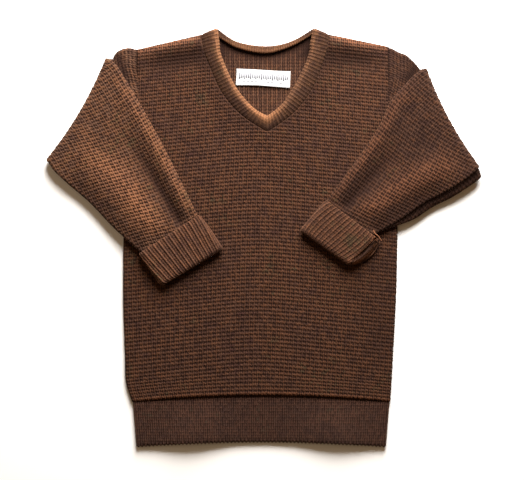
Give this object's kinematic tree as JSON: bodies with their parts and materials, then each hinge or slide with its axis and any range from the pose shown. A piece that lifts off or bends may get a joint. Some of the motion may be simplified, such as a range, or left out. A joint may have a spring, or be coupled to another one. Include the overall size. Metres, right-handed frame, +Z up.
{
  "type": "child's v-neck sweater",
  "caption": "Child's brown wool v-neck sweater in waffle knit, laid flat with both sleeves folded over the front and ribbed cuffs turned back.",
  "frame": {"origin": "On the surface that the sweater lies on, under the middle of its bounding box.", "axes": "+Z up, +Y towards the neck, +X towards the sleeve at the right seen from above (the wearer's left)."},
  "size_m": [0.4539, 0.441, 0.0179],
  "materials": {
    "waffle_wool": "matte, fuzzy",
    "ribbed_wool": "matte, fuzzy",
    "label_tape": "satin weave"
  },
  "bodies": {
    "root": {"back_panel": "waffle_wool", "front_panel": "waffle_wool", "hem_rib_back": "ribbed_wool", "hem_rib_front": "ribbed_wool", "neckband_front_left": "ribbed_wool", "neckband_front_right": "ribbed_wool", "neckband_back": "ribbed_wool", "label": "label_tape", "sleeve_left": "waffle_wool", "cuff_left": "ribbed_wool", "sleeve_right": "waffle_wool", "cuff_right": "ribbed_wool"}
  },
  "joints": []
}
